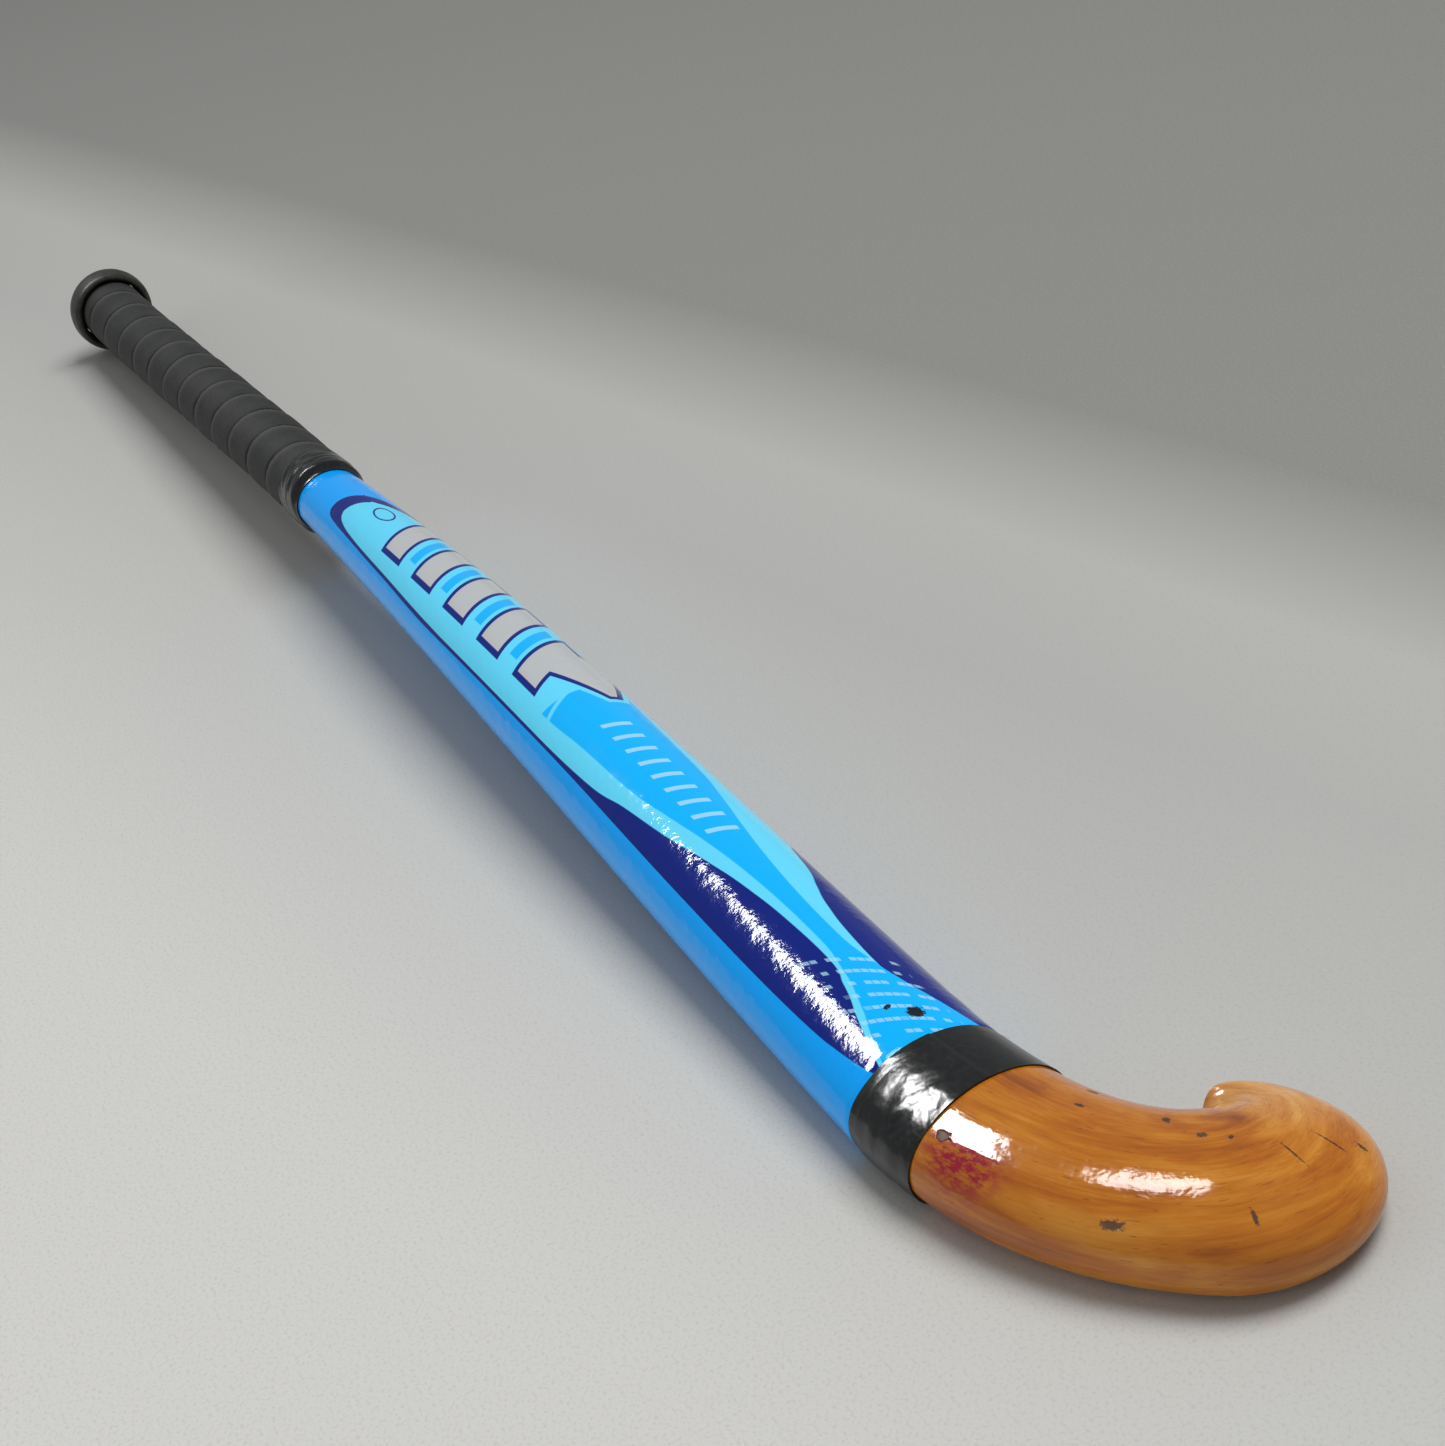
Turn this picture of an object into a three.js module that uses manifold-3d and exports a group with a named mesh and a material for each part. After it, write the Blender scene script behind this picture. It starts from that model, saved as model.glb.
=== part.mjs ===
// A wooden field hockey stick, lying on its flat playing face with its rounded back up.
// Millimetres, +Z up. +X runs from the butt to the head, +Y points towards the toe, and the flat
// face of the head lies on z = 0. The origin ends up under the middle of the whole stick.
//
// The head and lower shaft are five bent mulberry laminations. A cane handle with two rubber
// strips is spliced into them with a long V. Two glass layers and a printed film cover the shaft,
// twine binds the handle, and grip, tapes and butt pieces go on last.

import * as THREE from 'three';
import { mergeVertices } from 'three/addons/utils/BufferGeometryUtils.js';
import Module from 'manifold-3d';

const wasm = await Module();
wasm.setup();

// ---- Driving dimensions ----

// Whole stick
const stickLength = 927;    // butt face to the furthest point of the heel
const bow = 14;             // lift of the shaft's underside half way along
const gap = 0.3;            // clearance between pieces that touch

// Shaft section where the printed film starts, half way down, and at the head
const throat = { width: 28, height: 24 };
const waist = { width: 41, height: 32 };
const blade = { width: 49.5, height: 27.5 };
const faceFlatShare = 0.7;  // share of the blade's width that is truly flat underneath
const faceEdgeShare = 0.36; // share of the blade's height below its widest line

// Head: the outer edge is a chain of arcs, and so is the inner edge, which ends round the notch
const outerEdge = [
  { radius: 165, turn: 25 },
  { radius: 125, turn: 20 },
  { radius: 35, turn: 45 },
  { radius: 33, turn: 90 },
  { radius: 48, turn: 30 },
  { radius: 16, turn: 45 },
];
const innerEdge = [
  { radius: 260, turn: 12 },
  { radius: 60, turn: 25 },
];
const notch = { radius: 3, turn: 120 };
const innerLead = 24;       // how far before the outer edge the inner edge starts to bend
const toeHeight = 15.5;       // thickness of the wood at the tip of the toe
const toeFall = 110;        // length of outer edge over which the wood thins to the toe
const endRounding = 2;      // radius around the tip's end face
const laminationCount = 5;

// Handle
const handleLength = 347;   // butt face to the end of the finishing tape
const gripThickness = 2.2;  // over the film, on the low side of each turn
const gripPitch = 26;     // one turn of the spiral wrap
const gripOverlapStep = 0.5; // how far each overlap stands proud
const bindingThickness = 0.8;
const rubberThickness = 1.6;
const middleCaneThickness = 8;
const spliceLength = 150;   // the V that joins the cane to the mulberry
const spliceDepth = 118;    // how far the V's point reaches past the grip
const spliceSpread = 1;     // how far the V's mouth opens past the cane on each side

// Skins around the wood
const filmThickness = 0.35;
const glassThickness = 0.5;
const filmUnderGrip = 41;   // length of film and glass that the grip covers

// Finishing tape, which holds down the lower end of the grip and runs on to the film
const finishingTapeLength = 19;
const finishingTapeOnFilm = 4;
const finishingTapeThickness = 0.4;

// Butt
const buttRingWall = 4.45;
const buttRingLength = 13;
const buttRingRounding = 1.5;
const buttRingTaper = 1.5;  // how much the ring has narrowed where its inner rounding starts
const buttCapThickness = 3;
const buttCapSkirt = 9;

// Head tape, wound in two turns that are set a little apart
const tapeWidth = 25;
const tapeThickness = 0.3;
const tapeShift = 4;        // how far the outer turn lies towards the head
const tapeFromBend = 5;     // first edge of the tape, before the start of the bend
const filmUnderTape = 12;   // length of film and glass that the tape covers

// Fineness of the faceted surfaces
const ringPoints = 22;
const handleSteps = 8;
const shaftSteps = 14;
const headSteps = 22;
const roundingAngles = [30, 60, 80];

// ---- Derived dimensions ----

const radians = THREE.MathUtils.degToRad;
const reach = outerEdge.reduce(
  (sum, arc) => {
    const next = Math.min(90, sum.heading + arc.turn);
    const length = arc.radius * (Math.sin(radians(next)) - Math.sin(radians(sum.heading)));
    return { heading: next, length: sum.length + length };
  },
  { heading: 0, length: 0 },
).length;
const bendStart = stickLength - reach;
const tapeStart = bendStart - tapeFromBend;
const tapeEnd = tapeStart + tapeShift + tapeWidth;
const tapeStack = 2 * (tapeThickness + gap);
const filmEnd = tapeStart + filmUnderTape;
const gripEnd = handleLength - finishingTapeOnFilm;
const filmStart = gripEnd - filmUnderGrip;
const spliceTip = handleLength + spliceDepth;
const spliceStart = spliceTip - spliceLength;
const glassOuterDepth = filmThickness + gap;
const glassInnerDepth = glassOuterDepth + glassThickness + gap;
const woodDepth = glassInnerDepth + glassThickness + gap;
const sleeveUnderGrip = throat.height;
const handleDiameter = sleeveUnderGrip - 2 * woodDepth;
const bindingBore = handleDiameter + 2 * gap;
const bindingOutside = bindingBore + 2 * bindingThickness;
const gripBore = bindingOutside + 2 * gap;
const gripDiameter = sleeveUnderGrip + 2 * (gap + gripThickness);
const gripOutside = gripDiameter + 2 * gripOverlapStep;
const buttRingBore = gripOutside + 2 * gap;
const buttRingDiameter = buttRingBore + 2 * buttRingWall;
const ringCrest = buttRingLength / 2;
const arcLength = (arcs) => arcs.reduce((sum, arc) => sum + arc.radius * radians(arc.turn), 0);
const edgeLength = arcLength(outerEdge);
const bendLength = arcLength(innerEdge);
const notchCreep = arcLength([notch]) / (edgeLength + innerLead);

// Where the corners of a faceted section lie across it, from -1 to 1.
const ringPlaces = [];
for (let i = ringPoints / 2; i >= 0; i -= 1) {
  ringPlaces.push(Math.cos((2 * Math.PI * i) / ringPoints));
}

// ---- Curves of the stick ----

const mix = THREE.MathUtils.lerp;
const clamp = THREE.MathUtils.clamp;

// A parabola through three values at k = 0, 0.5 and 1.
function through(start, middle, end, k) {
  return start * (1 - k) * (1 - 2 * k) + middle * 4 * k * (1 - k) + end * k * (2 * k - 1);
}

// The point at a distance along a chain of tangent arcs that starts at (x, y) along +X.
function alongArcs(arcs, x, y, distance) {
  let heading = 0;
  let left = distance;
  for (const arc of arcs) {
    const length = Math.min(left, arc.radius * radians(arc.turn));
    const next = heading + length / arc.radius;
    x += arc.radius * (Math.sin(next) - Math.sin(heading));
    y += arc.radius * (Math.cos(heading) - Math.cos(next));
    heading = next;
    left -= length;
  }
  return new THREE.Vector2(x, y);
}

// How far down the shaft a place is: 0 at the end of the grip, 1 at the tape.
function shaftShare(x) {
  return clamp((x - handleLength) / (tapeStart - handleLength), 0, 1);
}

// Height of the shaft's underside above the ground: what the butt ring lifts it by, plus the bow.
function underside(x) {
  const t = clamp((x - ringCrest) / (tapeStart - ringCrest), 0, 1);
  const buttLift = (buttRingDiameter - throat.height) / 2;
  return buttLift * (1 - t) + bow * 16 * t * t * (1 - t) * (1 - t);
}

// The section at x, or further round the head where x is bendStart plus a length of outer edge.
// outer and inner are its two ends in plan.
function sectionAt(x) {
  const k = shaftShare(x);
  const width = through(throat.width, waist.width, blade.width, k);
  const height = through(throat.height, waist.height, blade.height, k);
  const section = {
    outer: new THREE.Vector2(x, -width / 2),
    inner: new THREE.Vector2(x, width / 2),
    height,
    base: underside(x),
    widest: mix(0.5, faceEdgeShare, k),
    flatShare: mix(0, faceFlatShare, k),
  };
  // The inner edge is followed step for step until the notch, and then only slowly round it.
  const innerRun = x - bendStart + innerLead;
  if (innerRun > 0) {
    const along = bendLength * Math.tanh(innerRun / bendLength) + notchCreep * innerRun;
    const arcs = [...innerEdge, notch];
    section.inner = alongArcs(arcs, bendStart - innerLead, width / 2, along);
  }
  const run = x - bendStart;
  if (run > 0) {
    const fall = clamp((run - edgeLength + toeFall) / toeFall, 0, 1);
    section.outer = alongArcs(outerEdge, bendStart, -width / 2, run);
    section.height = mix(blade.height, toeHeight, fall * fall * (3 - 2 * fall));
  }
  return section;
}

// A round section of the handle at x, on the same middle line as the shaft's throat.
function roundSectionAt(x, diameter) {
  return {
    outer: new THREE.Vector2(x, -diameter / 2),
    inner: new THREE.Vector2(x, diameter / 2),
    height: diameter,
    base: underside(x) + (throat.height - diameter) / 2,
    widest: 0.5,
    flatShare: 0,
  };
}

// The same section with its skin taken off to a depth.
function inset(section, depth) {
  const across = section.inner.clone().sub(section.outer).normalize();
  return {
    ...section,
    outer: section.outer.clone().addScaledVector(across, depth),
    inner: section.inner.clone().addScaledVector(across, -depth),
    height: section.height - 2 * depth,
    base: section.base + depth,
  };
}

// The outside of the film, which is drawn in under the grip and under the head tape.
function filmSection(x) {
  if (x <= gripEnd) {
    return roundSectionAt(x, sleeveUnderGrip);
  }
  const pressed = clamp((x - tapeStart + 2 * gap) / gap, 0, 1);
  return inset(sectionAt(x), tapeStack * pressed);
}

// The outside of the mulberry: under the skins, then under the tape, then bare.
function woodSection(x) {
  if (x < filmEnd + gap) {
    return inset(filmSection(x), woodDepth);
  }
  return inset(sectionAt(x), x < tapeEnd + gap ? tapeStack : 0);
}

// ---- Solids ----

// A point of a section: v runs from -1 at its outer end to 1 at its inner end.
function pointOn(section, v, onTop) {
  const side = Math.min(1, Math.abs(v));
  const flat = onTop ? 0 : section.flatShare;
  const outward = Math.max(0, (side - flat) / (1 - flat));
  const rise = Math.sqrt(1 - outward * outward);
  const middle = section.widest * section.height;
  const z = onTop ? middle + (section.height - middle) * rise : middle * (1 - rise);
  const plan = section.outer.clone().lerp(section.inner, (1 + v) / 2);
  return new THREE.Vector3(plan.x, plan.y, section.base + z);
}

// A whole section as a ring, from its inner end over the top and back under it.
function fullRing(section) {
  const ring = [];
  for (let i = 0; i < ringPoints; i += 1) {
    const angle = (2 * Math.PI * i) / ringPoints;
    ring.push(pointOn(section, Math.cos(angle), angle < Math.PI));
  }
  return ring;
}

// A point on the faceted surface that fullRing draws, at any place across the section.
function pointOnFacet(section, v, onTop) {
  const high = ringPlaces.findIndex((place) => place >= v);
  const [a, b] = [ringPlaces[Math.max(0, high - 1)], ringPlaces[high]];
  const share = a === b ? 0 : (v - a) / (b - a);
  return pointOn(section, a, onTop).lerp(pointOn(section, b, onTop), share);
}

// The part of a section between two places across it, as a ring. Its sides are trimmed by half a
// gap where another strip lies beside it.
function stripRing(section, low, high) {
  const halfGap = gap / section.outer.distanceTo(section.inner);
  const first = low > -1 ? low + halfGap : low;
  const last = high < 1 ? high - halfGap : high;
  const between = ringPlaces.filter((v) => v > low && v < high);
  const places = [first, ...between.map((v) => clamp(v, first, last)), last];
  const top = places.map((v) => pointOnFacet(section, v, true)).reverse();
  const bottom = places.map((v) => pointOnFacet(section, v, false));
  return top.concat(bottom);
}

// A solid between rings of equal count, with flat ends.
function loft(rings) {
  const count = rings[0].length;
  const points = rings.flat();
  const faces = [];
  for (let i = 0; i + 1 < rings.length; i += 1) {
    for (let j = 0; j < count; j += 1) {
      const a = i * count + j;
      const b = i * count + ((j + 1) % count);
      faces.push(a, b, b + count, a, b + count, a + count);
    }
  }
  const last = (rings.length - 1) * count;
  for (let j = 1; j + 1 < count; j += 1) {
    faces.push(0, j + 1, j, last, last + j, last + j + 1);
  }
  return closedGeometry(points, faces);
}

// A tube between outer and inner rings of equal count.
function tube(outerRings, innerRings) {
  const count = outerRings[0].length;
  const loop = outerRings.concat([...innerRings].reverse());
  const points = loop.flat();
  const faces = [];
  for (let i = 0; i < loop.length; i += 1) {
    const next = (i + 1) % loop.length;
    for (let j = 0; j < count; j += 1) {
      const k = (j + 1) % count;
      const a = i * count + j;
      const b = i * count + k;
      const c = next * count + k;
      const d = next * count + j;
      faces.push(a, b, c, a, c, d);
    }
  }
  return closedGeometry(points, faces);
}

// An indexed geometry with shared vertices and no faces that have shrunk to a line.
function closedGeometry(points, faces) {
  const raw = new THREE.BufferGeometry().setFromPoints(points);
  raw.setIndex(faces);
  const merged = mergeVertices(raw, 1e-4);
  const index = merged.index.array;
  const kept = [];
  for (let i = 0; i < index.length; i += 3) {
    const [a, b, c] = [index[i], index[i + 1], index[i + 2]];
    if (a !== b && b !== c && c !== a) {
      kept.push(a, b, c);
    }
  }
  merged.setIndex(kept);
  return merged;
}

function toManifold(geometry) {
  const bare = geometry.clone();
  bare.deleteAttribute('normal');
  bare.deleteAttribute('uv');
  const merged = mergeVertices(bare, 1e-4);
  return new wasm.Manifold(new wasm.Mesh({
    numProp: 3,
    vertProperties: Float32Array.from(merged.attributes.position.array),
    triVerts: Uint32Array.from(merged.index.array),
  }));
}

function fromManifold(solid) {
  const mesh = solid.getMesh();
  const geometry = new THREE.BufferGeometry();
  geometry.setAttribute('position', new THREE.BufferAttribute(mesh.vertProperties, 3));
  geometry.setIndex(new THREE.BufferAttribute(mesh.triVerts, 1));
  return geometry;
}

// The places where sections are drawn between two ends: the shaft's even steps, the sudden
// changes at the grip, tape and film, and closer steps round the head.
function placesBetween(start, end) {
  const places = new Set([start, end]);
  for (let i = 0; i <= handleSteps; i += 1) {
    places.add((gripEnd * i) / handleSteps);
  }
  for (let i = 0; i <= shaftSteps; i += 1) {
    places.add(mix(handleLength, tapeStart - 2 * gap, i / shaftSteps));
  }
  for (const x of [gripEnd, gripEnd + gap, tapeStart - gap, spliceStart]) {
    places.add(x);
  }
  for (let i = 0; i <= headSteps; i += 1) {
    places.add(bendStart + ((edgeLength - endRounding) * i) / headSteps);
  }
  return [...places].filter((x) => x >= start && x <= end).sort((a, b) => a - b);
}

// The sections of the mulberry from the splice to the tip of the toe, which is rounded off.
function woodSections() {
  const tip = bendStart + edgeLength;
  const before = placesBetween(spliceStart, filmEnd).map(woodSection);
  const under = placesBetween(filmEnd + gap, tapeEnd).map(woodSection);
  const bare = placesBetween(tapeEnd + gap, tip - endRounding).map(woodSection);
  const end = roundingAngles.map((angle) => {
    const section = woodSection(tip - endRounding * (1 - Math.sin(radians(angle))));
    return inset(section, endRounding * (1 - Math.cos(radians(angle))));
  });
  return [...before, ...under, ...bare, ...end];
}

// ---- Materials ----

function mulberryMaterial() {
  return new THREE.MeshStandardMaterial({ color: 0xb5701f, roughness: 0.25, metalness: 0 });
}

function caneMaterial() {
  return new THREE.MeshStandardMaterial({ color: 0xd8bd84, roughness: 0.7, metalness: 0 });
}

function rubberMaterial() {
  return new THREE.MeshStandardMaterial({ color: 0x2b2a28, roughness: 0.8, metalness: 0 });
}

function twineMaterial() {
  return new THREE.MeshStandardMaterial({ color: 0xcfc6ae, roughness: 0.9, metalness: 0 });
}

function glassClothMaterial() {
  return new THREE.MeshStandardMaterial({ color: 0xc9d2c4, roughness: 0.4, metalness: 0 });
}

function printedFilmMaterial() {
  return new THREE.MeshStandardMaterial({ color: 0x0aa0f5, roughness: 0.15, metalness: 0 });
}

function gripMaterial() {
  return new THREE.MeshStandardMaterial({ color: 0x3d3d3c, roughness: 0.85, metalness: 0 });
}

function vinylTapeMaterial() {
  return new THREE.MeshStandardMaterial({ color: 0x26282a, roughness: 0.35, metalness: 0 });
}

function buttRubberMaterial() {
  return new THREE.MeshStandardMaterial({ color: 0x24271f, roughness: 0.45, metalness: 0 });
}

// ---- Pieces ----

const group = new THREE.Group();

function addPiece(name, geometry, material) {
  const mesh = new THREE.Mesh(geometry, material);
  mesh.name = name;
  group.add(mesh);
}

// A tall block with an outline in plan, to cut or keep part of a solid.
function tallBlock(outline) {
  const depth = stickLength;
  const shape = new THREE.Shape(outline);
  const geometry = new THREE.ExtrudeGeometry(shape, { depth, bevelEnabled: false });
  geometry.translate(0, 0, -depth / 2);
  return toManifold(geometry);
}

// The V of the splice, which grow widens for the clearance around the cane.
function spliceWedge(grow) {
  const half = handleDiameter / 2 + spliceSpread;
  const slope = spliceLength / half;
  return tallBlock([
    new THREE.Vector2(-half, -half - grow),
    new THREE.Vector2(spliceStart, -half - grow),
    new THREE.Vector2(spliceTip + slope * grow, 0),
    new THREE.Vector2(spliceStart, half + grow),
    new THREE.Vector2(-half, half + grow),
  ]);
}

// The laminations share the width of the stick and follow its two edges round the bend.
function addLaminations() {
  const sections = woodSections();
  const wedge = spliceWedge(gap);
  for (let i = 0; i < laminationCount; i += 1) {
    const low = (2 * i) / laminationCount - 1;
    const high = (2 * (i + 1)) / laminationCount - 1;
    const rings = sections.map((section) => stripRing(section, low, high));
    const solid = toManifold(loft(rings)).subtract(wedge);
    addPiece(`head_lamination_${i + 1}`, fromManifold(solid), mulberryMaterial());
  }
}

// The handle's strips, from one side to the other, between the butt cap and the splice.
function addHandleStrips() {
  const middle = middleCaneThickness / 2;
  const rubber = middle + gap + rubberThickness;
  const far = handleDiameter;
  const start = buttCapThickness + gap;
  const sections = placesBetween(start, spliceTip).map((x) => (
    x <= gripEnd ? roundSectionAt(x, handleDiameter) : woodSection(x)
  ));
  const core = toManifold(loft(sections.map(fullRing))).intersect(spliceWedge(0));
  const strips = [
    ['cane_left', -far, -rubber - gap, caneMaterial()],
    ['rubber_strip_left', -rubber, -middle - gap, rubberMaterial()],
    ['cane_middle', -middle, middle, caneMaterial()],
    ['rubber_strip_right', middle + gap, rubber, rubberMaterial()],
    ['cane_right', rubber + gap, far, caneMaterial()],
  ];
  for (const [name, low, high, material] of strips) {
    const block = tallBlock([
      new THREE.Vector2(-far, low),
      new THREE.Vector2(stickLength, low),
      new THREE.Vector2(stickLength, high),
      new THREE.Vector2(-far, high),
    ]);
    addPiece(name, fromManifold(core.intersect(block)), material);
  }
}

// A skin that follows the film's outside at a depth.
function addSkin(name, depth, thickness, material) {
  const places = placesBetween(filmStart, filmEnd);
  const outer = places.map((x) => fullRing(inset(filmSection(x), depth)));
  const inner = places.map((x) => fullRing(inset(filmSection(x), depth + thickness)));
  addPiece(name, tube(outer, inner), material);
}

// A round tube around the handle. The outside and the bore are stations of [x, diameter].
function handleTube(outside, bore) {
  const rings = (stations) => stations.map(([x, diameter]) => fullRing(roundSectionAt(x, diameter)));
  return tube(rings(outside), rings(bore));
}

function addBinding() {
  const places = placesBetween(buttCapThickness + gap, filmStart - gap);
  const outside = places.map((x) => [x, bindingOutside]);
  const bore = places.map((x) => [x, bindingBore]);
  addPiece('handle_binding', handleTube(outside, bore), twineMaterial());
}

// The wrap: each turn lies a little over the one before it. Its bore clears the binding, then
// opens out over the start of the film.
function addGrip() {
  const start = buttCapThickness + buttCapSkirt + gap;
  const end = gripEnd - gap;
  const outside = [];
  for (let x = start; x < end; x += gripPitch) {
    outside.push([x === start ? x : x + gap, gripOutside]);
    outside.push([Math.min(end, x + gripPitch), gripDiameter]);
  }
  const opening = filmStart - gap;
  const bore = [
    ...placesBetween(start, opening - gap).map((x) => [x, gripBore]),
    ...placesBetween(opening, end).map((x) => [x, sleeveUnderGrip + 2 * gap]),
  ];
  addPiece('grip_wrap', handleTube(outside, bore), gripMaterial());
}

// It lies round the end of the grip, then slopes down to the film.
function addFinishingTape() {
  const start = handleLength - finishingTapeLength;
  const bore = gripOutside + 2 * gap;
  const outside = bore + 2 * finishingTapeThickness;
  const slopeStart = gripEnd + gap;
  const inner = [
    roundSectionAt(start, bore),
    roundSectionAt(slopeStart - gap, bore),
    inset(sectionAt(slopeStart + gap), -gap),
    inset(sectionAt(handleLength), -gap),
  ];
  const outer = [
    roundSectionAt(start, outside),
    roundSectionAt(slopeStart, outside),
    inset(sectionAt(slopeStart + 2 * gap), -gap - 2 * finishingTapeThickness),
    inset(sectionAt(handleLength), -gap - finishingTapeThickness),
  ];
  addPiece('grip_finishing_tape', tube(outer.map(fullRing), inner.map(fullRing)), vinylTapeMaterial());
}

// The cap is a disc with a skirt over the binding, flush with the grip, and the ring goes round it.
function addButt() {
  const rim = buttCapThickness + buttCapSkirt;
  const cap = [
    [0, gripOutside],
    [rim, gripOutside],
    [rim, gripBore],
    [buttCapThickness, gripBore],
  ].map(([x, diameter]) => fullRing(roundSectionAt(x, diameter)));
  addPiece('butt_cap', loft(cap), buttRubberMaterial());
  const outside = [
    [0, buttRingDiameter - 2 * buttRingRounding],
    [buttRingRounding, buttRingDiameter - 0.6 * buttRingRounding],
    [ringCrest, buttRingDiameter],
    [buttRingLength - buttRingRounding, buttRingDiameter - buttRingTaper],
    [buttRingLength, buttRingDiameter - buttRingTaper - 2 * buttRingRounding],
  ];
  const bore = [[0, buttRingBore], [buttRingLength, buttRingBore]];
  addPiece('butt_ring', handleTube(outside, bore), buttRubberMaterial());
}

// One turn of the head tape, from its start for its width, with its outside at a depth.
function addTapeTurn(name, start, depth) {
  const places = placesBetween(start, start + tapeWidth);
  const outer = places.map((x) => fullRing(inset(sectionAt(x), depth)));
  const inner = places.map((x) => fullRing(inset(sectionAt(x), depth + tapeThickness)));
  addPiece(name, tube(outer, inner), vinylTapeMaterial());
}

addLaminations();
addHandleStrips();
addBinding();
addSkin('glass_layer_inner', glassInnerDepth, glassThickness, glassClothMaterial());
addSkin('glass_layer_outer', glassOuterDepth, glassThickness, glassClothMaterial());
addSkin('printed_film', 0, filmThickness, printedFilmMaterial());
addGrip();
addFinishingTape();
addButt();
addTapeTurn('head_tape_inner_turn', tapeStart, tapeThickness + gap);
addTapeTurn('head_tape_outer_turn', tapeStart + tapeShift, 0);

// The origin goes under the middle of the whole stick.
const box = new THREE.Box3().setFromObject(group);
const centre = box.getCenter(new THREE.Vector3());
group.position.set(-centre.x, -centre.y, -box.min.z);

export default group;
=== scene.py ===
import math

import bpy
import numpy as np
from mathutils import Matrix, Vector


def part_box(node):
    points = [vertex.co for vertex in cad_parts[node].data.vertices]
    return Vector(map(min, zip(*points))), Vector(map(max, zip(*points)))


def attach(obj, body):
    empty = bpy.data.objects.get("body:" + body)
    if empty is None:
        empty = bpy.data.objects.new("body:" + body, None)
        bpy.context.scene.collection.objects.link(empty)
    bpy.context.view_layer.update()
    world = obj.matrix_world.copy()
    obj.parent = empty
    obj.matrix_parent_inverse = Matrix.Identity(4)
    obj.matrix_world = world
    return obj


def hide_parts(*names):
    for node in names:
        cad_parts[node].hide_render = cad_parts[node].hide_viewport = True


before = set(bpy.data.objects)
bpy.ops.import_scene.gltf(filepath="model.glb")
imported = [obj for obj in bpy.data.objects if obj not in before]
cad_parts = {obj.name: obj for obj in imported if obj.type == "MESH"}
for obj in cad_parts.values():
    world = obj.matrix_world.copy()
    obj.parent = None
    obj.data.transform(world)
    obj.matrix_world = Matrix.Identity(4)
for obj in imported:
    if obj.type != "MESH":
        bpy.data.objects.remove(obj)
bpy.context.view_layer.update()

# A wooden field hockey stick that lies on its flat face, rounded back up.
#
# The fine pieces are lofted from the same curves as the CAD part. Lengths are in millimetres until
# a mesh is made: x runs from the butt face along the stick and, past the start of the bend, along
# the outer edge of the head. s is the distance round the shaft from its top line, towards the toe
# where positive.

MM = 0.001

# ---- Driving dimensions, as in the CAD part ----

BOW = 14
GAP = 0.3
THROAT_WIDTH, WAIST_WIDTH, BLADE_WIDTH = 28, 41, 49.5
THROAT_HEIGHT, WAIST_HEIGHT, BLADE_HEIGHT = 24, 32, 27.5
FACE_FLAT_SHARE = 0.7
FACE_EDGE_SHARE = 0.36
STICK_LENGTH = 927
OUTER_EDGE = [(165, 25), (125, 20), (35, 45), (33, 90), (48, 30), (16, 45)]
INNER_EDGE = [(260, 12), (60, 25)]
NOTCH = (3, 120)
INNER_LEAD = 24
TOE_HEIGHT = 15.5
TOE_FALL = 110
END_ROUNDING = 2
LAMINATION_COUNT = 5
HANDLE_LENGTH = 347
GRIP_THICKNESS = 2.2
GRIP_PITCH = 26
GRIP_STEP = 0.5
SPLICE_LENGTH, SPLICE_DEPTH, SPLICE_SPREAD = 150, 118, 1
FILM_THICKNESS = 0.35
GLASS_THICKNESS = 0.5
FILM_UNDER_GRIP = 41
FINISHING_TAPE_LENGTH = 19
FINISHING_TAPE_ON_FILM = 4
FINISHING_TAPE_THICKNESS = 0.4
RING_WALL = 4.45
RING_LENGTH = 13
CAP_LENGTH = 12
TAPE_WIDTH = 25
TAPE_THICKNESS = 0.3
TAPE_SHIFT = 4
TAPE_FROM_BEND = 5
FILM_UNDER_TAPE = 12

# ---- Derived dimensions ----


def arc_length(arcs):
    return sum(radius * math.radians(turn) for radius, turn in arcs)


def forward_reach(arcs):
    """How far a chain of arcs reaches along +X before it turns back."""
    heading, reach = 0, 0
    for radius, turn in arcs:
        after = min(90, heading + turn)
        reach += radius * (math.sin(math.radians(after)) - math.sin(math.radians(heading)))
        heading = after
    return reach


BEND_START = STICK_LENGTH - forward_reach(OUTER_EDGE)
EDGE_LENGTH = arc_length(OUTER_EDGE)
BEND_LENGTH = arc_length(INNER_EDGE)
NOTCH_CREEP = arc_length([NOTCH]) / (EDGE_LENGTH + INNER_LEAD)
TIP = BEND_START + EDGE_LENGTH
TAPE_START = BEND_START - TAPE_FROM_BEND
TAPE_END = TAPE_START + TAPE_SHIFT + TAPE_WIDTH
FILM_END = TAPE_START + FILM_UNDER_TAPE
GRIP_END = HANDLE_LENGTH - FINISHING_TAPE_ON_FILM
FILM_START = GRIP_END - FILM_UNDER_GRIP
SPLICE_TIP = HANDLE_LENGTH + SPLICE_DEPTH
SPLICE_START = SPLICE_TIP - SPLICE_LENGTH
WOOD_DEPTH = FILM_THICKNESS + 2 * GLASS_THICKNESS + 3 * GAP
HANDLE_DIAMETER = THROAT_HEIGHT - 2 * WOOD_DEPTH
GRIP_DIAMETER = THROAT_HEIGHT + 2 * (GAP + GRIP_THICKNESS)
GRIP_OUTSIDE = GRIP_DIAMETER + 2 * GRIP_STEP
RING_BORE = GRIP_OUTSIDE + 2 * GAP
RING_DIAMETER = RING_BORE + 2 * RING_WALL
RING_CREST = RING_LENGTH / 2

RING_LOW, RING_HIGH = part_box("butt_ring")
AXIS_Y = (RING_LOW.y + RING_HIGH.y) / 2
ORIGIN = np.array([RING_LOW.x, AXIS_Y, 0.0])

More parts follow.
